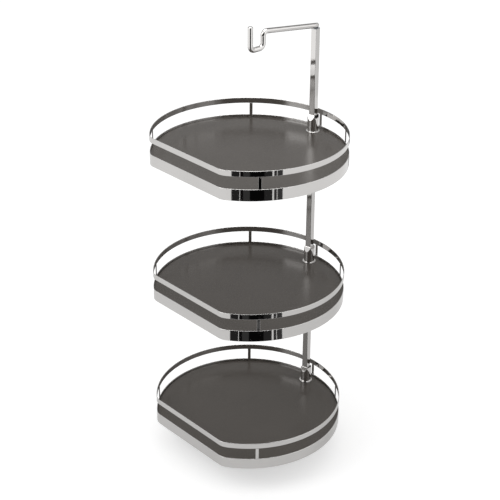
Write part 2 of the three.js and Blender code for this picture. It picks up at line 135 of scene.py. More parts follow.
class SocketSizes(bpy.types.PropertyGroup):
    radius: length("Radius", 0.0175, "Radius of the body")
    height: length("Height", 0.056, "From the board to the top")
    mouth_wall: length("Mouth wall", 0.001, "Wall left at the middle of each side of the square mouth")
    flat_drop: length("Flat drop", 0.018, "Height over which each flat runs out into the round body")
    flange_radius: length("Flange radius", 0.0215, "Radius of the foot flange")
    flange_height: length("Flange height", 0.002, "Height of the foot flange")
    neck_radius: length("Neck radius", 0.0155, "Radius of the neck in the board")
    grub_height: length("Grub screw height", 0.026, "Height of the grub screw above the board")
    grub_radius: length("Grub screw radius", 0.003, "Radius of the grub screw")
    key_width: length("Key width", 0.003, "Across the flats of the grub screw's key hole")
    key_depth: length("Key depth", 0.002, "Depth of the grub screw's key hole")


class ColumnSizes(bpy.types.PropertyGroup):
    offset: length("Offset", (COLUMN_BOX[0].y + COLUMN_BOX[1].y) / 2,
                   "From the turning axis to the column's")
    turn: angle("Turn", 11, "Turn of the square section from the radial line")
    side: length("Side", 0.020, "Side of the square section")
    wall: length("Wall", 0.0015, "Thickness of the tube's wall")
    corner: length("Corner", 0.002, "Radius of the section's corners")
    plate_length: length("Carrier plate length", 0.165, "Length of the plate under a board")
    plate_width: length("Carrier plate width", 0.060, "Width of the plate under a board")
    plate_thickness: length("Carrier plate thickness", 0.003, "Thickness of the plate under a board")
    plate_corner: length("Carrier plate corner", 0.012, "Radius of the plate's corners")
    plate_overhang: length("Carrier plate overhang", 0.018,
                           "From the column's axis to the plate's outer end")


class ArmSizes(bpy.types.PropertyGroup):
    radius: length("Rod radius", 0.008, "Radius of both arms")
    overrun: length("Overrun", 0.006, "How far an arm runs past the column's axis")
    rise: length("Rise", 0.025, "Of the upper arm, from the column to the crank")
    bend: length("Bend", 0.014, "Radius of the upper arm's bends, to the rod's middle")
    lower_bend: length("Lower bend", 0.020, "Radius of the lower arm's bend, to the rod's middle")
    crank_width: length("Crank width", 0.050, "From the turning axis to the crank's other leg")
    crank_depth: length("Crank depth", 0.050, "From the arm's end down to the crank's bottom")
    chamfer: length("Pin chamfer", 0.0025, "Chamfer on the tip of each pin")


class BearingSizes(bpy.types.PropertyGroup):
    plate_radius: length("Plate radius", 0.095, "Radius of the floor plate")
    plate_thickness: length("Plate thickness", 0.005, "Thickness of the floor plate")
    plate_chamfer: length("Plate chamfer", 0.0015, "Chamfer on the floor plate's rim")
    hole_circle: length("Hole circle", 0.078, "From the turning axis to a floor screw's hole")
    hole_radius: length("Hole radius", 0.00275, "Radius of a floor screw's hole")
    flange_radius: length("Housing flange radius", 0.034, "Radius of the bearing housing's flange")
    flange: length("Housing flange", 0.004, "Thickness of the bearing housing's flange")
    housing_radius: length("Housing radius", 0.017, "Radius of the bearing housing")
    housing_height: length("Housing height", 0.032, "Height of the bearing housing")
    housing_floor: length("Housing floor", 0.003, "Thickness of the housing under the washer")
    screw_circle: length("Screw circle", 0.026, "From the turning axis to a housing screw")
    bush_wall: length("Bush wall", 0.0025, "Thickness of the bush")
    bush_flange: length("Bush flange", 0.002, "Thickness of the bush's flange")
    running_gap: length("Running gap", 0.00035, "Between the lower pin and its bush")


class Finishes(bpy.types.PropertyGroup):
    chrome: colour("Chrome", (0.635, 0.622, 0.61), "Bright chromium plate")
    chrome_roughness: share("Chrome roughness", 0.025, "Roughness of the chrome where it is clean")
    zinc: colour("Zinc", (0.50, 0.52, 0.54), "Bright zinc plate")
    laminate: colour("Laminate", (0.097, 0.086, 0.076), "Warm dark grey board")
    laminate_fleck: colour("Laminate fleck", (0.110, 0.098, 0.087), "Paler flecks in the board")
    nylon: colour("Nylon", (0.76, 0.74, 0.67), "Natural nylon")
    floor: colour("Floor", (0.78, 0.78, 0.78), "Studio floor")


# ---- Surfaces ----

def placed(name, data):
    """A new object of the scene with that mesh, light or camera."""
    made = bpy.data.objects.new(name, data)
    bpy.context.scene.collection.objects.link(made)
    return made


def surface(name, rows, ring=False):
    """A closed mesh from a grid of points, whose every row runs once round.

    With ring, the last row joins the first, as on a hoop of wire. Without it, the first and the last row
    are one point each, as at the poles of a globe. The faces are turned so that the solid's volume, a
    third of the sum of each face's corner times its area vector, comes out positive.
    """
    count, columns = rows.shape[:2]
    if ring:
        points = rows.reshape(-1, 3)
        index = np.arange(count * columns).reshape(count, columns)
        index = np.vstack([index, index[:1]])
    else:
        points = np.vstack([rows[:1, 0], rows[1:-1].reshape(-1, 3), rows[-1:, 0]])
        index = np.arange(1, (count - 2) * columns + 1).reshape(-1, columns)
        index = np.vstack([np.zeros(columns, int), index, np.full(columns, len(points) - 1)])
    beside = np.roll(index, -1, axis=1)
    quads = np.stack([index[:-1], beside[:-1], beside[1:], index[1:]], axis=-1)
    a, b, c, d = np.moveaxis(points[quads.reshape(-1, 4)], 1, 0)
    volume = np.sum(a * (np.cross(b, c) + np.cross(c, d)))
    if ring:
        patches = [quads.reshape(-1, 4)]
    else:
        patches = [quads[0][:, [0, 2, 3]], quads[1:-1].reshape(-1, 4), quads[-1][:, [0, 1, 2]]]
    faces = [face for patch in patches for face in (patch if volume > 0 else patch[:, ::-1]).tolist()]
    mesh = bpy.data.meshes.new(name)
    mesh.from_pydata(points.tolist(), [], faces)
    mesh.shade_smooth()
    return placed(name, mesh)


def coat(piece, node):
    """Gives a piece the finish of that solid's material slot."""
    piece.data.materials.clear()
    piece.data.materials.append(bpy.data.materials["finish_" + SLOT_OF[node]])


def dress(node, piece, crisp=False):
    """The piece stands for that solid, with its body and its finish.

    With crisp, faces that meet at more than 30 degrees keep a sharp edge between them.
    """
    coat(piece, node)
    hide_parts(node)
    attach(piece, BODY_OF[node])
    if crisp:
        piece.data.set_sharp_from_angle(angle=radians(30))
    return piece


def finished(node, rows, ring=False):
    """A surface in the place of that solid."""
    return dress(node, surface("finished_" + node, rows, ring))


def unit(vectors):
    """Vectors scaled to length one."""
    return vectors / np.linalg.norm(vectors, axis=-1, keepdims=True)


def between(first, last, steps):
    """Directions that turn evenly from first to last, by the sine rule, as an array [pair, step]."""
    turn = np.arccos(np.clip(np.sum(first * last, axis=-1), -1, 1))[:, None, None]
    t = np.linspace(0, 1, steps + 1)[None, :, None]
    return (np.sin((1 - t) * turn) * first[:, None] + np.sin(t * turn) * last[:, None]) / np.sin(turn)


def eased(corners, radius, steps=4, closed=True):
    """An outline with its corners rounded.

    Each corner gives way to the arc of its radius that touches both its sides: the arc's middle lies on
    the corner's bisector, at radius / sin(half angle), and its ends at radius / tan(half angle) along the
    sides. A point just past each end keeps the flats flat. An open outline keeps its two end points.
    """
    corners = np.asarray(corners, float)
    radius = np.broadcast_to(np.asarray(radius, float), len(corners))[:, None]
    back = unit(np.roll(corners, 1, axis=0) - corners)
    ahead = unit(np.roll(corners, -1, axis=0) - corners)
    half = np.arccos(np.clip(np.sum(back * ahead, axis=1, keepdims=True), -1, 1)) / 2
    reach = radius / np.tan(half)
    middle = corners + unit(back + ahead) * radius / np.sin(half)
    spokes = between(unit(corners + back * reach - middle), unit(corners + ahead * reach - middle), steps)
    arcs = middle[:, None] + spokes * radius[:, None]
    arcs = np.concatenate([(corners + back * (reach + SUPPORT))[:, None], arcs,
                           (corners + ahead * (reach + SUPPORT))[:, None]], axis=1)
    if closed:
        return arcs.reshape(-1, 2)
    return np.vstack([corners[:1], arcs[1:-1].reshape(-1, 2), corners[-1:]])


def edged(corners, steps=4, closed=True):
    """An eased outline from (x, y, radius) corners."""
    corners = np.asarray(corners, float)
    return eased(corners[:, :2], corners[:, 2], steps, closed)


def at_height(points, height):
    """Level points in space, all at one height or each at its own."""
    return np.insert(points, 2, height, axis=1)


def level_rows(outline, section):
    """Rows of one outline, each set in by a section point's first number and raised to its second."""
    return np.stack([at_height(outline(inset), height) for inset, height in section])


def directions(angles):
    """Level directions at those angles from the X axis."""
    return np.column_stack([np.cos(angles), np.sin(angles)])


def around(steps):
    """Directions evenly round the vertical axis."""
    return directions(np.arange(steps) * 2 * pi / steps)


def ringed(spokes, rings):
    """A row of points for each (reach, height): the reach, one for all spokes or one for each, times
    the spokes, at that height."""
    return np.stack([at_height(spokes * np.reshape(reach, (-1, 1)), height) for reach, height in rings])


def turned(profile, steps=96):
    """A profile of (radius, height) carried round the vertical axis."""
    return ringed(around(steps), profile)


def on_circle(count, radius, first):
    """That many places evenly round a circle about the vertical axis, from the angle of the first."""
    return directions(first + np.arange(count) * 2 * pi / count) * radius


def tray_outline(sizes):
    """The D-shaped outline as a function of how far it is set in.

    The round edge and both corners are arcs, whose radii lose the inset, and the straight edge runs
    between the corners. Each corner's middle lies where its arc touches the round one.
    """
    corner_y = sizes.corner - sizes.flat
    corner_x = sqrt((sizes.radius - sizes.corner) ** 2 - corner_y ** 2)
    start = atan2(corner_y, corner_x)
    arcs = ((0, 0, sizes.radius, start, pi - start, ROUND_STEPS),
            (-corner_x, corner_y, sizes.corner, pi - start, 1.5 * pi, CORNER_STEPS),
            (corner_x, corner_y, sizes.corner, -0.5 * pi, start, CORNER_STEPS))
    spokes = [directions(np.linspace(a, b, steps, endpoint=False)) for _, _, _, a, b, steps in arcs]
    edge = np.linspace(-corner_x, corner_x, STRAIGHT_STEPS, endpoint=False)

    def outline(inset):
        round_edge, left, right = (
            spoke * (radius - inset) + (x, y) for (x, y, radius, _, _, _), spoke in zip(arcs, spokes))
        straight = np.column_stack([edge, np.full(STRAIGHT_STEPS, inset - sizes.flat)])
        return np.vstack([round_edge, left, straight, right])

    return outline


def rectangle_outline(width, length, corner, steps=6):
    """A rounded rectangle about the origin as a function of how far it is set in, which its corners lose."""
    def outline(inset):
        x, y = width / 2 - inset, length / 2 - inset
        return eased([(x, y), (-x, y), (-x, -y), (x, -y)], max(corner - inset, HAIRLINE), steps)
    return outline


def square_reach(direction, side, corner):
    """How far a rounded square reaches in each direction.

    Where the line meets a side, half a side over the larger part of the direction. Where it meets a
    corner's arc, the root of the circle's equation, k (x + y) + sqrt(c^2 - k^2 (x - y)^2), with k the
    arc's middle.
    """
    x, y = np.sort(np.abs(direction), axis=1)[:, ::-1].T
    k = side / 2 - corner
    root = np.sqrt(np.maximum(corner ** 2 - (k * (x - y)) ** 2, 0))
    return np.where(side / 2 * y / x <= k, side / 2 / x, k * (x + y) + root)


def spin(points, turn):
    """Points turned about the vertical axis."""
    c, s = cos(turn), sin(turn)
    return np.stack([points[..., 0] * c - points[..., 1] * s,
                     points[..., 0] * s + points[..., 1] * c, *np.moveaxis(points[..., 2:], -1, 0)], axis=-1)


def laid_down(rows, height):
    """A surface about the vertical axis turned on its side at that height, so that its top points to -X."""
    return np.stack([-rows[..., 2], rows[..., 1], rows[..., 0] + height], axis=-1)


def on_column(rows, column):
    """A surface about the vertical axis moved to the column and turned as its section is."""
    return spin(rows, column.turn) + (0, column.offset, 0)


def rod(corners, bend, radius, chamfer, guards):
    """A round rod in the plane x = 0, along a line of (y, z) corners rounded to the bend radius.

    Along each bend the direction turns evenly from one side's to the next, and the rod's middle lies on
    the touching arc. Round the rod, a point is the middle plus radius times cos t along X and sin t along
    the line's own normal. The first end is flat and the last is chamfered. The guards are more rows, at
    those distances from the first end.
    """
    corners = np.asarray(corners, float)
    inner = corners[1:-1]
    came, goes = unit(inner - corners[:-2]), unit(corners[2:] - inner)
    arcs = between(came, goes, BEND_STEPS)
    half = (pi - np.arccos(np.sum(came * goes, axis=1)))[:, None] / 2
    middle = inner + unit(goes - came) * bend / np.sin(half)
    side = np.sign(came[:, :1] * goes[:, 1:] - came[:, 1:] * goes[:, :1])[:, None]
    bends = middle[:, None] + np.stack([arcs[..., 1], -arcs[..., 0]], axis=-1) * side * bend
    first, last = unit(corners[1] - corners[0]), unit(corners[-1] - corners[-2])
    starts = np.stack([corners[0] + first * d for d in (0, 0, HAIRLINE, *guards)])
    stops = np.stack([corners[-1] - last * d for d in (chamfer + SUPPORT, chamfer, 0, 0)])
    line = np.vstack([starts, bends.reshape(-1, 2), stops])
    heading = np.vstack([np.tile(first, (len(starts), 1)), arcs.reshape(-1, 2),
                         np.tile(last, (len(stops), 1))])
    reach = np.full(len(line), radius)
    reach[:2] = 0, radius - HAIRLINE
    reach[-2:] = radius - chamfer, 0
    normal = np.stack([-heading[:, 1], heading[:, 0]], axis=-1)
    across, up = (reach[:, None] * part for part in around(ROD_STEPS).T)
    return np.stack([across, line[:, :1] + normal[:, :1] * up, line[:, 1:] + normal[:, 1:] * up], axis=-1)


def drilled(piece, tool):
    """The piece with the tool's solid taken out of it."""
    cut = piece.modifiers.new("Drill", "BOOLEAN")
    cut.operation, cut.solver, cut.object = "DIFFERENCE", "EXACT", tool
    bpy.context.view_layer.update()
    mesh = bpy.data.meshes.new_from_object(piece.evaluated_get(bpy.context.evaluated_depsgraph_get()))
    if len(mesh.polygons) <= len(piece.data.polygons):
        raise RuntimeError(f"{piece.name} wasn't drilled")
    old, piece.data = piece.data, mesh
    piece.modifiers.clear()
    bpy.data.meshes.remove(old)
    bpy.data.meshes.remove(tool.data)
    return piece


# ---- Finishes ----

class Signal:
    """A number that varies over a surface. Arithmetic on it adds Math nodes."""

    def __init__(self, tree, socket):
        self.tree, self.socket = tree, socket

    def combined(self, operation, first, second):
        return Signal(self.tree, self.tree.node("ShaderNodeMath", {"operation": operation},
                                                {0: first, 1: second}).outputs[0])

    def __add__(self, other):
        return self.combined("ADD", self, other)

    def __mul__(self, other):
        return self.combined("MULTIPLY", self, other)

    def __sub__(self, other):
        return self.combined("SUBTRACT", self, other)

    def __rsub__(self, other):
        return self.combined("SUBTRACT", other, self)

    __radd__, __rmul__ = __add__, __mul__


class Tree:
    """A node tree that is being written."""

    def __init__(self, owner):
        owner.use_nodes = True
        self.nodes, self.links = owner.node_tree.nodes, owner.node_tree.links
        self.nodes.clear()

    def node(self, kind, settings=None, inputs=None):
        """A node with its settings, and then the values or links of its sockets."""
        node = self.nodes.new(kind)
        for key, value in (settings or {}).items():
            setattr(node, key, value)
        for key, value in (inputs or {}).items():
            value = value.socket if isinstance(value, Signal) else value
            if isinstance(value, bpy.types.NodeSocket):
                self.links.new(value, node.inputs[key])
            else:
                node.inputs[key].default_value = value
        return node

    def place(self, stretch=(1, 1, 1)):
        """Object coordinates, with more detail along an axis whose stretch is larger."""
        coordinates = self.node("ShaderNodeTexCoord")
        return self.node("ShaderNodeMapping", {}, {"Vector": coordinates.outputs["Object"],
                                                   "Scale": stretch}).outputs["Vector"]

    def noise(self, scale, detail=2.0, stretch=(1, 1, 1)):
        """Soft noise, in features per metre."""
        made = self.node("ShaderNodeTexNoise", {}, {"Vector": self.place(stretch), "Scale": scale,
                                                    "Detail": detail})
        return Signal(self, made.outputs[0])

    def cells(self, scale):
        """A random number for each cell of a broken pattern."""
        made = self.node("ShaderNodeTexVoronoi", {}, {"Vector": self.place(), "Scale": scale})
        split = self.node("ShaderNodeSeparateColor", {}, {0: made.outputs["Color"]})
        return Signal(self, split.outputs[0])

    def stepped(self, signal, low, high):
        """0 below low, 1 above high, and a smooth rise between."""
        made = self.node("ShaderNodeMapRange", {"interpolation_type": "SMOOTHSTEP"},
                         {"Value": signal, "From Min": low, "From Max": high})
        return Signal(self, made.outputs[0])

    def mixed(self, factor, first, second):
        """Two colours mixed by a signal."""
        made = self.node("ShaderNodeMix", {"data_type": "RGBA"}, {"Factor": factor})
        for key, value in (("A", first), ("B", second)):
            socket = next(s for s in made.inputs if s.name == key and s.type == "RGBA")
            if isinstance(value, bpy.types.NodeSocket):
                self.links.new(value, socket)
            else:
                socket.default_value = (*value, 1)
        return next(s for s in made.outputs if s.type == "RGBA")

    def bumped(self, height, distance, strength):
        """A normal that follows a height, in metres of distance."""
        return self.node("ShaderNodeBump", {}, {"Height": height, "Distance": distance,
                                                "Strength": strength}).outputs["Normal"]

    def finish(self, inputs):
        """The surface shader and the output."""
        shader = self.node("ShaderNodeBsdfPrincipled", {}, inputs)
        self.node("ShaderNodeOutputMaterial", {}, {"Surface": shader.outputs[0]})


def scaled(tone, factor):
    """A colour made darker or paler."""
    return tuple(min(1.0, part * factor) for part in tone)


def chrome(tree, finishes):
    """Bright chromium plate: a faint haze in patches, and fine polishing lines that run round each piece."""
    haze = tree.stepped(tree.noise(7, detail=3), low=0.42, high=0.72)
    lines = tree.noise(60, detail=3, stretch=(1, 1, 22))
    specks = tree.stepped(tree.noise(900, detail=1), low=0.66, high=0.74)
    tone = tree.mixed(haze, finishes.chrome, scaled(finishes.chrome, 0.965))
    tree.finish({"Base Color": tone, "Metallic": 1.0,
                 "Roughness": haze * 0.025 + lines * 0.02 + specks * 0.03 + finishes.chrome_roughness,
                 "Normal": tree.bumped(lines, distance=0.00002, strength=0.35)})


def zinc(tree, finishes):
    """Bright zinc plate on rolled steel: a crystal pattern, rolling lines and a duller film in patches."""
    crystals = tree.cells(110)
    lines = tree.noise(40, detail=4, stretch=(1, 18, 1))
    film = tree.stepped(tree.noise(14, detail=4), low=0.4, high=0.7)
    tone = tree.mixed(crystals, scaled(finishes.zinc, 0.86), scaled(finishes.zinc, 1.08))
    tone = tree.mixed(film * 0.45, tone, scaled(finishes.zinc, 0.70))
    tree.finish({"Base Color": tone, "Metallic": 1.0,
                 "Roughness": crystals * 0.08 + lines * 0.10 + film * 0.12 + 0.20,
                 "Normal": tree.bumped(lines + crystals * 0.3, distance=0.00003, strength=0.6)})


def laminate(tree, finishes):
    """Dark laminate: fine flecks, a slow mottle and a pressed pearl texture under a satin sheen."""
    flecks = tree.stepped(tree.noise(620, detail=3), low=0.46, high=0.66)
    mottle = tree.noise(9, detail=3)
    pores = tree.noise(1400)
    tone = tree.mixed(flecks, finishes.laminate, finishes.laminate_fleck)
    shade = tree.stepped(mottle, low=0.35, high=0.7) * 0.3
    tone = tree.mixed(shade, tone, scaled(finishes.laminate, 0.86))
    tree.finish({"Base Color": tone,
                 "Roughness": flecks * 0.04 + mottle * 0.06 + 0.21, "Specular IOR Level": 0.26,
                 "Normal": tree.bumped(pores + flecks * 0.4, distance=0.00002, strength=0.2)})


def nylon(tree, finishes):
    """Moulded nylon: a slightly cloudy off-white with a fine moulded grain."""
    cloud = tree.stepped(tree.noise(60, detail=3), low=0.35, high=0.7)
    grain = tree.noise(1800)
    tree.finish({"Base Color": tree.mixed(cloud, finishes.nylon, scaled(finishes.nylon, 0.9)),
                 "Roughness": grain * 0.15 + 0.40, "Subsurface Weight": 0.15,
                 "Subsurface Radius": (0.002, 0.002, 0.0015), "Subsurface Scale": 1.0,
                 "Normal": tree.bumped(grain, distance=0.00002, strength=0.5)})


class MakeFinishes(bpy.types.Operator):
    """Makes the four finishes and gives them to the frame's own solids"""
    bl_idname = "carousel.finishes"
    bl_label = "Finishes"

    def execute(self, context):
        makers = {"chrome": chrome, "zinc_plated_steel": zinc, "dark_laminate": laminate, "nylon": nylon}
        for slot, maker in makers.items():
            maker(Tree(bpy.data.materials.new("finish_" + slot)), context.scene.carousel_finishes)
        for node, solid in frame["nodes"].items():
            coat(solid, node)
        return {"FINISHED"}


# ---- Trays ----

def tray_foot(level):
    """Height of a tray's underside."""
    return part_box(level + "_edge_band")[0].z


def board_top(tray):
    """Height of a board's upper face above its tray's underside."""
    return tray.band_height - tray.lip


def board_bottom(tray):
    """Height of a board's lower face above its tray's underside."""
    return board_top(tray) - tray.board


def bore_section(bottom, top, edge, face):
    """A hole's (growth, height) points from above to below, with its edges broken. The rows that they
    give keep the plate flat for the width of the face round the hole."""
    return [(face, top), (edge, top), (0, top - edge), (0, bottom + edge), (edge, bottom), (face, bottom)]


def for_each_tray(name, rows, ring=False):
    """The same surface in all three trays. Its heights are measured from a tray's underside."""
    for level in LEVELS:
        finished(f"{level}_{name}", rows + (0, 0, tray_foot(level)), ring)


class MakeBands(bpy.types.Operator):
    """Makes the edge bands, with the ledge that carries each board"""
    bl_idname = "carousel.bands"
    bl_label = "Edge bands"

    def execute(self, context):
        tray = context.scene.carousel_trays
        height, wall, edge = tray.band_height, tray.band_wall, tray.band_edge
        top = board_bottom(tray) - GAP
        bottom = top - tray.ledge_wall
        reach = wall + tray.ledge_width
        section = [(0, 0, edge), (0, height, edge), (wall, height, edge), (wall, top, HAIRLINE),
                   (reach, top, edge), (reach, bottom, edge), (wall, bottom, HAIRLINE), (wall, 0, edge)]
        for_each_tray("edge_band", level_rows(tray_outline(tray), edged(section)), ring=True)
        return {"FINISHED"}


class MakeRails(bpy.types.Operator):
    """Makes the gallery rails"""
    bl_idname = "carousel.rails"
    bl_label = "Gallery rails"

    def execute(self, context):
        tray = context.scene.carousel_trays
        top = tray.rail_bottom + tray.rail_height
        section = eased([(0, tray.rail_bottom), (0, top), (tray.rail_wall, top),
                         (tray.rail_wall, tray.rail_bottom)], tray.band_edge)
        for_each_tray("gallery_rail", level_rows(tray_outline(tray), section), ring=True)
        return {"FINISHED"}


class MakePosts(bpy.types.Operator):
    """Makes the five flat posts that hold each gallery rail above its band"""
    bl_idname = "carousel.posts"
    bl_label = "Gallery posts"

    # Degrees from the column, about the turning axis
    angles = {"back": 0, "right": -30, "left": 47.5, "front_right": -126, "front_left": 129}

    def execute(self, context):
        tray = context.scene.carousel_trays
        bottom, top = tray.band_height + GAP, tray.rail_bottom - GAP
        inner = tray.post_thickness / 2
        section = eased([(inner, bottom), (0, bottom), (0, top), (inner, top)], HAIRLINE, steps=3,
                        closed=False)
        outline = rectangle_outline(tray.post_width, tray.post_thickness, tray.post_edge)
        post = level_rows(outline, section[1:-1])
        foot, head = (np.zeros((1, *post.shape[1:])) + (0, 0, height) for height in (bottom, top))
        post = np.concatenate([foot, post, head]) + (0, tray.radius - inner - SUPPORT, 0)
        for name, turn in self.angles.items():
            for_each_tray("post_" + name, spin(post, radians(turn)))
        return {"FINISHED"}


class MakeBoards(bpy.types.Operator):
    """Makes the boards, each with the hole for its socket's neck"""
    bl_idname = "carousel.boards"
    bl_label = "Boards"

    rim_face = 0.004        # width of the faces that the rows of the rim keep flat
    bore_face = 0.003       # and of those round the hole

    def execute(self, context):
        tray, column = context.scene.carousel_trays, context.scene.carousel_column
        neck = context.scene.carousel_socket.neck_radius + NECK_CLEARANCE
        top, bottom = board_top(tray), board_bottom(tray)
        outline = tray_outline(tray)
        edge = tray.band_wall + GAP
        face = edge + self.rim_face
        rim = edged([(face, bottom, HAIRLINE), (edge, bottom, HAIRLINE), (edge, top, tray.board_edge),
                     (face, top, tray.board_edge)], steps=5, closed=False)
        middle = np.array([0, column.offset])
        spokes = unit(outline(edge) - middle)

        def hole(grown):
            return middle + spokes * (neck + grown)

        bore = bore_section(bottom, top, HAIRLINE, self.bore_face)
        rows = np.concatenate([level_rows(outline, rim), level_rows(hole, bore)])
        for_each_tray("board", rows, ring=True)
        return {"FINISHED"}


class MakeSockets(bpy.types.Operator):
    """Makes the sockets that clamp each tray to the column"""
    bl_idname = "carousel.sockets"
    bl_label = "Sockets"

    steps = 168             # round the socket, besides the points of its square bore
    wall_rows = 64          # up the part with the sloping flats
    rim_rows = 4            # round the rim of the mouth
    plain = 0.006           # height of the plain body above the flange
    run_out = 0.001         # how far below the flats their rows start
    flange_edge = 0.0007    # radius of the flange's upper edge
    flange_fillet = 0.0012  # radius between the flange and the body
    rim_depth = 0.0004      # how far the rounded rim of the mouth draws in
    rim_height = 0.0006     # and how high it is
    mouth_edge = 0.00012    # size of the edge at the top of the square bore
    mouth_guard = 0.0005    # from the mouth down to the row that keeps the bore's walls flat
    ease = 0.0003           # how near a flat comes to the round body before their edge is eased

    def shape(self, sizes, column, tray):
        """Up the neck, the flange and the body, over the rim and down the square bore."""
        across = column.side + 2 * SLIDE_GAP
        bore = rectangle_outline(across, across, column.corner)(0)
        angles = np.sort(np.concatenate([np.arctan2(bore[:, 1], bore[:, 0]) % (2 * pi),
                                         (np.arange(self.steps) + 0.5) * 2 * pi / self.steps]))
        spokes = directions(angles)
        square = square_reach(spokes, across, column.corner)
        facing = np.max(np.abs(spokes), axis=1)
        mouth = column.side / 2 + SLIDE_GAP + sizes.mouth_wall
        slope = (sizes.radius - mouth) / sizes.flat_drop

        def body(height):
            """The smaller of the round body and the four sloping flats, with the edge between them eased."""
            flats = (mouth + slope * (sizes.height - height)) / facing
            nearness = np.maximum(self.ease - np.abs(flats - sizes.radius), 0)
            return np.minimum(flats, sizes.radius) - nearness ** 2 / (4 * self.ease)

        bottom, top, flange = -tray.board, sizes.height, sizes.flange_height
        rim = top - self.rim_height
        rings = edged([(sizes.neck_radius, bottom, HAIRLINE), (sizes.neck_radius, GAP, HAIRLINE),
                       (sizes.flange_radius, GAP, HAIRLINE), (sizes.flange_radius, flange, self.flange_edge),
                       (sizes.radius, flange, self.flange_fillet),
                       (sizes.radius, flange + self.plain, HAIRLINE)], steps=6, closed=False).tolist()
        wall = np.linspace(top - sizes.flat_drop - self.run_out, rim, self.wall_rows)
        rings += [(body(height), height) for height in wall]
        for t in np.linspace(0, pi / 2, self.rim_rows + 1)[1:]:
            rings.append((body(top) - self.rim_depth * (1 - cos(t)), rim + self.rim_height * sin(t)))
        rings += [(square + self.rim_depth, top), (square + self.mouth_edge, top - self.mouth_edge),
                  (square, top - self.mouth_guard), (square, bottom + BROKEN_EDGE),
                  (square + BROKEN_EDGE, bottom)]
        return on_column(ringed(spokes, rings), column)

    def execute(self, context):
        scene = context.scene
        sizes, column, tray = scene.carousel_socket, scene.carousel_column, scene.carousel_trays
        socket = surface("socket", self.shape(sizes, column, tray) + (0, 0, board_top(tray)), ring=True)
        hole = sizes.grub_radius + GAP
        reach = sizes.flange_radius
        drill = turned([(0, 0), (hole, 0), (hole, reach), (0, reach)], steps=40)
        drill = laid_down(drill, sizes.grub_height + board_top(tray))
        drilled(socket, surface("drill", on_column(drill, column)))
        for level in LEVELS:
            piece = placed(f"finished_{level}_socket", socket.data.copy())
            piece.data.transform(Matrix.Translation((0, 0, tray_foot(level))))
            piece.data.shade_smooth()
            dress(level + "_socket", piece, crisp=True)
        bpy.data.meshes.remove(socket.data)
        return {"FINISHED"}


class MakeGrubScrews(bpy.types.Operator):
    """Makes the grub screws that fix each socket's height on the column"""
    bl_idname = "carousel.grub_screws"
    bl_label = "Grub screws"

    steps = 48              # round the screw
    sunk = 0.0015           # how far the outer end lies below the socket's surface
    point = 0.0008          # chamfer of the end that meets the column
    rim = 0.001             # width of the outer end's flat rim
    edge = 0.0005           # radius of the outer end's edge

    def execute(self, context):
        scene = context.scene
        sizes, column, tray = scene.carousel_socket, scene.carousel_column, scene.carousel_trays
        radius, inner = sizes.grub_radius, column.side / 2 + SLIDE_GAP
        outer = sizes.radius - self.sunk
        floor = outer - sizes.key_depth
        spokes = around(self.steps)
        sector = np.arctan2(spokes[:, 1], spokes[:, 0]) % (pi / 3) - pi / 6
        hexagon = sizes.key_width / 2 / np.cos(sector)
        rings = edged([(0, inner, HAIRLINE), (radius - self.point, inner, HAIRLINE),
                       (radius, inner + self.point, HAIRLINE), (radius, outer, self.edge),
                       (radius - self.rim, outer, HAIRLINE)], closed=False).tolist()
        rings += [(hexagon + HAIRLINE / 2, outer), (hexagon, outer - HAIRLINE), (hexagon, floor + HAIRLINE),
                  (hexagon - HAIRLINE / 2, floor), (0, floor)]
        screw = laid_down(ringed(spokes, rings), sizes.grub_height + board_top(tray))
        for_each_tray("grub_screw", on_column(screw, column))
        return {"FINISHED"}


class MakeCarrierPlates(bpy.types.Operator):
    """Makes the plates that carry each board from its socket"""
    bl_idname = "carousel.carrier_plates"
    bl_label = "Carrier plates"

    rim_edge = 0.0005       # radius of the plate's edges
    rim_face = 0.002        # width of the faces that the rows of the rim keep flat
    bore_face = 0.001       # and of those round the hole

    def execute(self, context):
        tray, column = context.scene.carousel_trays, context.scene.carousel_column
        top = board_bottom(tray) - GAP
        bottom = top - column.plate_thickness
        centre = column.offset + column.plate_overhang - column.plate_length / 2
        about_origin = rectangle_outline(column.plate_width, column.plate_length, column.plate_corner,
                                         steps=16)
        middle = np.array([0, column.offset])

        def outline(inset):
            return about_origin(inset) + (0, centre)

        spokes = unit(outline(0) - middle)
        reach = square_reach(spin(spokes, -column.turn), column.side + 2 * SLIDE_GAP, column.corner)[:, None]

        def hole(grown):
            return middle + spokes * (reach + grown)

        rim = eased([(self.rim_face, bottom), (0, bottom), (0, top), (self.rim_face, top)],
                    self.rim_edge, closed=False)
        bore = bore_section(bottom, top, BROKEN_EDGE, self.bore_face)
        rows = np.concatenate([level_rows(outline, rim), level_rows(hole, bore)])
        for_each_tray("carrier_plate", rows, ring=True)
        return {"FINISHED"}


# A screw's head, in shares of its radius: the domed face, the rim, and the cross's half width and reach
HEAD_FACE, HEAD_RIM, CROSS_HALF_WIDTH, CROSS_REACH = 0.96, 0.97, 0.13, 0.62
# In shares of its height: how far the dome rises, and how deep the cross is
DOME_RISE, CROSS_DEPTH = 0.35, 0.42
DOME_POWER = 2.2            # how late the dome falls away towards the rim
RIM_RISE = 1.1              # of the rim's outer edge, as a share of the dome's rise
CROSS_SIDE_SLOPE = 0.00025  # width over which the cross gets deep along its sides
CROSS_END_SLOPE = 0.0004    # and at its ends
SCREW_STEPS = 64            # round a screw
HEAD_ROWS = 22              # from the middle of its head to the end of the domed face


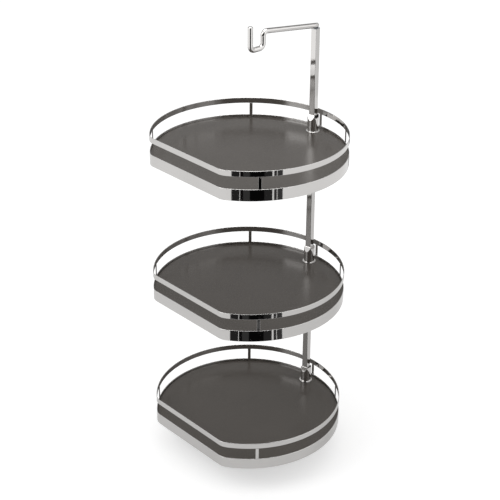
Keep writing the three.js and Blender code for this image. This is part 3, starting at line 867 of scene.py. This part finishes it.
def screw_rows(head_radius, head_height, radius, reach):
    """A screw that points up, its domed head below z = 0 with a cross-shaped recess.

    The head's face is a shallow dome, set back by the recess's depth where either arm of the cross covers
    it, with slopes along the cross's sides and at its ends.
    """
    spokes = around(SCREW_STEPS)
    dome = head_height * DOME_RISE
    rings = []
    for r in np.linspace(0, head_radius * HEAD_FACE, HEAD_ROWS):
        across, along = np.sort(np.abs(spokes * r), axis=1).T
        inside = np.clip((head_radius * CROSS_HALF_WIDTH - across) / CROSS_SIDE_SLOPE + 0.5, 0, 1)
        inside = inside * np.clip((head_radius * CROSS_REACH - along) / CROSS_END_SLOPE + 0.5, 0, 1)
        height = -head_height + dome * (r / head_radius) ** DOME_POWER + inside * head_height * CROSS_DEPTH
        rings.append((r, height))
    rim = eased([(head_radius * HEAD_RIM, -head_height + dome),
                 (head_radius, -head_height + dome * RIM_RISE),
                 (head_radius, 0), (radius, 0), (radius, reach), (0, reach + radius)],
                HAIRLINE, steps=3, closed=False)
    return ringed(spokes, rings + rim.tolist())


class MakePlateScrews(bpy.types.Operator):
    """Makes the wood screws that hold each carrier plate to its board"""
    bl_idname = "carousel.plate_screws"
    bl_label = "Plate screws"

    screw = {"head_radius": 0.004, "head_height": 0.0024, "radius": 0.002, "reach": 0.012}
    inset = 0.012           # from the plate's long and inner edges
    spacing = 0.095         # from one pair of screws to the next, along the plate

    def execute(self, context):
        tray, column = context.scene.carousel_trays, context.scene.carousel_column
        seat = board_bottom(tray) - column.plate_thickness - 2 * GAP
        x = column.plate_width / 2 - self.inset
        y = column.offset + column.plate_overhang - column.plate_length + self.inset
        places = ((-x, y), (x, y), (-x, y + self.spacing), (x, y + self.spacing))
        for number, place in enumerate(places, 1):
            for_each_tray(f"plate_screw_{number}", screw_rows(**self.screw) + (*place, seat))
        return {"FINISHED"}


# ---- Column and arms ----

class MakeColumn(bpy.types.Operator):
    """Makes the square tube"""
    bl_idname = "carousel.column"
    bl_label = "Column"

    def execute(self, context):
        sizes = context.scene.carousel_column
        bottom, top = COLUMN_BOX[0].z, COLUMN_BOX[1].z
        section = eased([(0, bottom), (0, top), (sizes.wall, top), (sizes.wall, bottom)], HAIRLINE, steps=3)
        rows = level_rows(rectangle_outline(sizes.side, sizes.side, sizes.corner, steps=8), section)
        finished("column", on_column(rows, sizes), ring=True)
        return {"FINISHED"}


class MakeArms(bpy.types.Operator):
    """Makes both bent arms, with the upper one's crank and their two pins"""
    bl_idname = "carousel.arms"
    bl_label = "Arms"

    guards = (0.013, 0.014, 0.033, 0.034)   # rows at both ends of the seat's run-out, from the arm's end

    def seated(self, rows, column, cut, face):
        """The rows of an arm with a flat at the height of the face, where it passes the column."""
        near = np.abs(rows[..., 1] - column.offset) < column.side
        rows[..., 2] = np.where(near, cut(rows[..., 2], face), rows[..., 2])
        return rows

    def execute(self, context):
        arm, column = context.scene.carousel_arms, context.scene.carousel_column
        end = column.offset + arm.overrun
        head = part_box("column_top_plug")[1].z
        middle = head + arm.radius - ARM_SEAT
        slope = arm.rise / (column.offset - arm.crank_width)
        crank_top = middle + arm.rise
        crank_bottom = crank_top - arm.crank_depth
        line = [(end, middle - slope * arm.overrun), (arm.crank_width, crank_top),
                (arm.crank_width, crank_bottom), (0, crank_bottom), (0, TOP_ARM_BOX[1].z)]
        rows = rod(line, arm.bend, arm.radius, arm.chamfer, self.guards)
        finished("top_arm", self.seated(rows, column, np.maximum, head + GAP))

        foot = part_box("column_foot_plug")[0].z
        level = foot - arm.radius + ARM_SEAT
        line = [(end, level), (0, level), (0, LOWER_ARM_BOX[0].z)]
        rows = rod(line, arm.lower_bend, arm.radius, arm.chamfer, self.guards)
        finished("lower_arm", self.seated(rows, column, np.minimum, foot - GAP))
        return {"FINISHED"}


# ---- Floor bearing ----

class MakeFloorPlate(bpy.types.Operator):
    """Makes the floor plate, with its four countersunk holes"""
    bl_idname = "carousel.floor_plate"
    bl_label = "Floor plate"

    def execute(self, context):
        sizes = context.scene.carousel_bearing
        radius, top, chamfer = sizes.plate_radius, sizes.plate_thickness, sizes.plate_chamfer
        profile = eased([(0, 0), (radius, 0), (radius, top - chamfer), (radius - chamfer, top), (0, top)],
                        HAIRLINE, steps=3, closed=False)
        plate = surface("finished_base_plate", turned(profile, steps=160))
        hole, low, high = sizes.hole_radius, -CUT_MARGIN, top + CUT_MARGIN
        bore = turned([(0, low), (hole, low), (hole, top - hole), (2 * hole + CUT_MARGIN, high),
                       (0, high)], steps=48)
        for place in on_circle(4, sizes.hole_circle, pi / 4):
            drilled(plate, surface("drill", bore + (*place, 0)))
        plate.data.shade_smooth()
        dress("base_plate", plate, crisp=True)
        return {"FINISHED"}


class MakeBearing(bpy.types.Operator):
    """Makes the bearing housing, its bush and its thrust washer"""
    bl_idname = "carousel.bearing"
    bl_label = "Floor bearing"

    flange_edge = 0.0008    # radius of the housing flange's upper edge
    fillet = 0.0015         # and of the corner between the flange and the housing
    housing_edge = 0.001    # and of the housing's upper edge
    bush_edge = 0.0006      # and of the bush's rim
    moulded_edge = 0.0004   # and of the other edges of moulded pieces and of the housing's foot

    def execute(self, context):
        sizes, arm = context.scene.carousel_bearing, context.scene.carousel_arms
        base = sizes.plate_thickness + GAP
        floor, seat, top = base + sizes.housing_floor, base + sizes.flange, base + sizes.housing_height
        inner = arm.radius + sizes.running_gap
        bush = inner + sizes.bush_wall
        bore = bush + GAP
        profile = edged([(0, base, HAIRLINE), (sizes.flange_radius, base, self.moulded_edge),
                         (sizes.flange_radius, seat, self.flange_edge),
                         (sizes.housing_radius, seat, self.fillet),
                         (sizes.housing_radius, top, self.housing_edge), (bore, top, BROKEN_EDGE),
                         (bore, floor, HAIRLINE), (0, floor, HAIRLINE)], steps=5, closed=False)
        finished("bearing_housing", turned(profile, steps=128))

        flange = bush + sizes.bush_wall
        low, top = LOWER_ARM_BOX[0].z + GAP, top + GAP
        high = top + sizes.bush_flange
        profile = edged([(inner, low, HAIRLINE), (bush, low, HAIRLINE), (bush, top, HAIRLINE),
                         (flange, top, BROKEN_EDGE), (flange, high, self.bush_edge),
                         (inner, high, self.moulded_edge)], steps=5)
        finished("bearing_bush", turned(profile), ring=True)

        low, high = (corner.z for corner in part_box("thrust_washer"))
        washer = bush - GAP
        profile = [(0, low), (washer, low), (washer, high), (0, high)]
        finished("thrust_washer", turned(eased(profile, self.moulded_edge, closed=False)))
        return {"FINISHED"}


class MakeHousingScrews(bpy.types.Operator):
    """Makes the screws that hold the bearing housing on the floor plate"""
    bl_idname = "carousel.housing_screws"
    bl_label = "Housing screws"

    screw = {"head_radius": 0.0038, "head_height": 0.0026, "radius": 0.002, "reach": 0.0035}

    def execute(self, context):
        sizes = context.scene.carousel_bearing
        seat = sizes.plate_thickness + sizes.flange + 2 * GAP
        for number, place in enumerate(on_circle(3, sizes.screw_circle, pi / 2), 1):
            finished(f"housing_screw_{number}", screw_rows(**self.screw) * (1, 1, -1) + (*place, seat))
        return {"FINISHED"}


# ---- Stage ----

# The photograph's camera: angles in degrees, lengths in metres, and the focal length in pixels of a
# picture that is IMAGE_PIXELS wide
CAMERA_AZIMUTH = 48.2
CAMERA_ELEVATION = 25.35
CAMERA_ROLL = 0.41
CAMERA_DISTANCE = 4.0636
CAMERA_ASIDE = 0.00284
CAMERA_AIM_HEIGHT = 0.8045
CAMERA_FOCAL_PIXELS = 1317.2
IMAGE_PIXELS = 500
SENSOR = 36.0                   # millimetres
SHIFT_Y = -0.06                 # share of the picture's width

WORLD_LIGHT = 0.72              # what the white world gives off as light, where it looks 1.0
WHITE = (1, 1, 1, 1)
SQUARE = ((-1, -1, 0), (1, -1, 0), (1, 1, 0), (-1, 1, 0))
FLOOR_HALF_SIDE = 60.0
FLOOR_DROP = 0.0002             # below the floor plate's underside
FLOOR_GLOW_SEEN = 0.50          # what the floor gives off to the camera, so that it turns white
FLOOR_GLOW_MIRRORED = 0.16      # and in reflections
# Panels on the floor that only reflections show: from and to which azimuth, in degrees from the camera's,
# from and to which radius, and how bright
PANELS = ((-19.0, -10.35, 1.0, 8.0, 0.022), (-9.8, -6.4, 1.0, 8.0, 0.005), (-6.4, 0.6, 1.0, 8.0, 0.042),
          (0.6, 16.0, 1.0, 8.0, 0.003), (16.0, 24.6, 1.0, 8.0, 0.025), (26.5, 29.5, 1.0, 8.0, 0.042),
          (30.1, 36.0, 1.0, 8.0, 0.050), (10.0, 13.2, 1.30, 1.372, 0.10),
          (-150.0, -19.0, 2.2, 3.4, 0.95), (36.0, 150.0, 2.2, 3.4, 0.95),
          (-150.0, -19.0, 3.4, 9.0, 1.2), (36.0, 85.0, 3.4, 9.0, 1.3), (85.0, 150.0, 3.4, 9.0, 0.8),
          (158.0, 202.0, 0.6, 9.0, 0.04))
PANEL_STEPS = 40                # along a panel's arc
PANEL_HEIGHT = 0.0025           # of the lowest panel
PANEL_SPACING = 0.0005          # and from one to the next
OVERHEAD_HEIGHT = 4.2
OVERHEAD_HALF_SIDE = 1.2
OVERHEAD_STRENGTH = 5.0
# Upright screens that only reflections show: name, azimuth in degrees from the camera's, distance, half
# width, foot, top and how bright
SCREENS = (("front_screen", 0.0, 8.5, 8.0, 0.6, 7.0, 0.03),
           ("side_screen", 84.0, 6.0, 1.3, 1.6, 7.0, 1.5),
           ("left_screen", -60.0, 6.0, 1.6, 1.6, 5.0, 2.6),
           ("back_screen", 180.0, 6.0, 9.0, 0.0, 6.5, 0.6),
           ("high_screen", 180.0, 6.0, 9.0, 6.5, 14.0, 0.05))
# Soft boxes: name, place, the point that each faces, width, height and watts
LAMPS = (("key", (-1.0, -2.9, 3.2), (0, 0, 0.8), 2.2, 2.2, 30),
         ("fill", (3.6, 0.6, 2.2), (0, 0, 0.7), 2.0, 2.4, 10))


class MakeStage(bpy.types.Operator):
    """Makes the floor, what the chrome mirrors, the light and the camera"""
    bl_idname = "carousel.stage"
    bl_label = "Stage"

    def world(self, scene):
        """White to the camera and in reflections, and a little less in the light that it gives."""
        scene.world = bpy.data.worlds.new("studio")
        tree = Tree(scene.world)
        path = tree.node("ShaderNodeLightPath")
        seen = Signal(tree, path.outputs["Is Camera Ray"]) + Signal(tree, path.outputs["Is Glossy Ray"])
        seen = seen + Signal(tree, path.outputs["Is Transmission Ray"])
        strength = tree.node("ShaderNodeMapRange", {}, {"Value": seen, "To Min": WORLD_LIGHT, "To Max": 1.0})
        shade = tree.node("ShaderNodeBackground", {}, {"Color": WHITE, "Strength": strength.outputs[0]})
        tree.node("ShaderNodeOutputWorld", {}, {"Surface": shade.outputs[0]})

    def sheet(self, name, points):
        """A flat face of the stage with a material of its own, and the material's node tree."""
        mesh = bpy.data.meshes.new(name)
        mesh.from_pydata(points.tolist(), [], [tuple(range(len(points)))])
        mesh.materials.append(bpy.data.materials.new(name))
        sheet = placed(name, mesh)
        return sheet, Tree(mesh.materials[0])

    def floor(self, finishes):
        """A pale floor that turns white where no shadow falls on it."""
        _, tree = self.sheet("floor", np.array(SQUARE) * FLOOR_HALF_SIDE - (0, 0, FLOOR_DROP))
        path = tree.node("ShaderNodeLightPath")
        seen = Signal(tree, path.outputs["Is Camera Ray"]) * FLOOR_GLOW_SEEN
        seen = seen + Signal(tree, path.outputs["Is Glossy Ray"]) * FLOOR_GLOW_MIRRORED
        matt = tree.node("ShaderNodeBsdfDiffuse", {}, {"Color": (*finishes.floor, 1)}).outputs[0]
        glow = tree.node("ShaderNodeEmission", {}, {"Color": WHITE, "Strength": seen}).outputs[0]
        shade = tree.node("ShaderNodeAddShader", {}, {0: matt, 1: glow})
        tree.node("ShaderNodeOutputMaterial", {}, {"Surface": shade.outputs[0]})

    def mirrored_only(self, name, points, strength):
        """A flat sheet of that brightness, which nothing but the object's reflections shows."""
        sheet, tree = self.sheet(name, points)
        shade = tree.node("ShaderNodeEmission", {}, {"Color": WHITE, "Strength": strength})
        tree.node("ShaderNodeOutputMaterial", {}, {"Surface": shade.outputs[0]})
        sheet.visible_camera = sheet.visible_diffuse = sheet.visible_shadow = False
        sheet.visible_transmission = False

    def panels(self):
        """Panels on the floor, each a piece of a ring about the turning axis, and one overhead."""
        for number, (start, stop, inner, outer, tone) in enumerate(PANELS):
            spokes = directions(np.radians(np.linspace(start, stop, PANEL_STEPS) + CAMERA_AZIMUTH) - pi / 2)
            arcs = np.vstack([spokes * inner, spokes[::-1] * outer])
            height = PANEL_HEIGHT + PANEL_SPACING * number
            self.mirrored_only(f"panel_{number + 1}", at_height(arcs, height), tone)
        points = np.array(SQUARE[::-1]) * OVERHEAD_HALF_SIDE + (0, 0, OVERHEAD_HEIGHT)
        self.mirrored_only("overhead_panel", points, OVERHEAD_STRENGTH)

    def screens(self):
        """Upright screens that face the turning axis."""
        for name, azimuth, distance, half_width, foot, top, strength in SCREENS:
            t = radians(CAMERA_AZIMUTH + azimuth)
            ahead, aside = np.array([sin(t), -cos(t), 0]), np.array([cos(t), sin(t), 0])
            corners = ((-half_width, foot), (half_width, foot), (half_width, top), (-half_width, top))
            points = np.array([ahead * distance + aside * x + (0, 0, z) for x, z in corners])
            self.mirrored_only(name, points, strength)

    def lamps(self):
        """Soft boxes."""
        for name, place, aim, width, height, power in LAMPS:
            data = bpy.data.lights.new(name, "AREA")
            data.shape, data.size, data.size_y, data.energy = "RECTANGLE", width, height, power
            lamp = placed(name, data)
            lamp.location = place
            lamp.rotation_euler = (Vector(aim) - Vector(place)).to_track_quat("-Z", "Y").to_euler()

    def camera(self, scene):
        """The photograph's view: the camera looks at a point beside the turning axis, from a distance, and
        is rolled a little about its own line of sight."""
        azimuth, elevation, roll = radians(CAMERA_AZIMUTH), radians(CAMERA_ELEVATION), radians(CAMERA_ROLL)
        back = Vector((sin(azimuth) * cos(elevation), -cos(azimuth) * cos(elevation), sin(elevation)))
        right = Vector((cos(azimuth), sin(azimuth), 0))
        up = back.cross(right)
        across = right * cos(roll) + up * sin(roll)
        above = up * cos(roll) - right * sin(roll)
        data = bpy.data.cameras.new("camera")
        data.sensor_width, data.sensor_fit = SENSOR, "HORIZONTAL"
        data.lens = CAMERA_FOCAL_PIXELS / IMAGE_PIXELS * SENSOR
        data.shift_y = SHIFT_Y
        data.clip_start, data.clip_end = 0.1, 100
        camera = placed("camera", data)
        place = Vector((0, 0, CAMERA_AIM_HEIGHT)) + right * CAMERA_ASIDE + back * CAMERA_DISTANCE
        camera.matrix_world = Matrix.Translation(place) @ Matrix((across, above, back)).transposed().to_4x4()
        scene.camera = camera

    def execute(self, context):
        scene = context.scene
        scene.view_settings.view_transform = "Standard"
        self.world(scene)
        self.floor(scene.carousel_finishes)
        self.panels()
        self.screens()
        self.lamps()
        self.camera(scene)
        return {"FINISHED"}


# ---- Add-on ----

SETTINGS = {
    "carousel_trays": TraySizes, "carousel_socket": SocketSizes, "carousel_column": ColumnSizes,
    "carousel_arms": ArmSizes, "carousel_bearing": BearingSizes, "carousel_finishes": Finishes,
}
OPERATORS = (MakeFinishes, MakeBands, MakeRails, MakePosts, MakeBoards, MakeSockets, MakeGrubScrews,
             MakeCarrierPlates, MakePlateScrews, MakeColumn, MakeArms, MakeFloorPlate, MakeBearing,
             MakeHousingScrews, MakeStage)


class CAROUSEL_PT_build(bpy.types.Panel):
    """Lists the sizes, the finishes and the pieces"""
    bl_idname = "CAROUSEL_PT_build"
    bl_label = "Corner carousel"
    bl_space_type = "VIEW_3D"
    bl_region_type = "UI"
    bl_category = "Carousel"

    def draw(self, context):
        for name, group in SETTINGS.items():
            box = self.layout.box()
            box.label(text=name.split("_")[1].capitalize())
            for key in group.__annotations__:
                box.prop(getattr(context.scene, name), key)
        for maker in OPERATORS:
            self.layout.operator(maker.bl_idname)


def register():
    for group in (*SETTINGS.values(), *OPERATORS, CAROUSEL_PT_build):
        bpy.utils.register_class(group)
    for name, group in SETTINGS.items():
        setattr(bpy.types.Scene, name, PointerProperty(type=group))


def unregister():
    for name in SETTINGS:
        delattr(bpy.types.Scene, name)
    for group in (CAROUSEL_PT_build, *OPERATORS, *SETTINGS.values()):
        bpy.utils.unregister_class(group)


def main():
    """Builds the carousel."""
    register()
    for maker in OPERATORS:
        getattr(bpy.ops.carousel, maker.bl_idname.split(".")[1])()


if __name__ == "__main__":
    main()
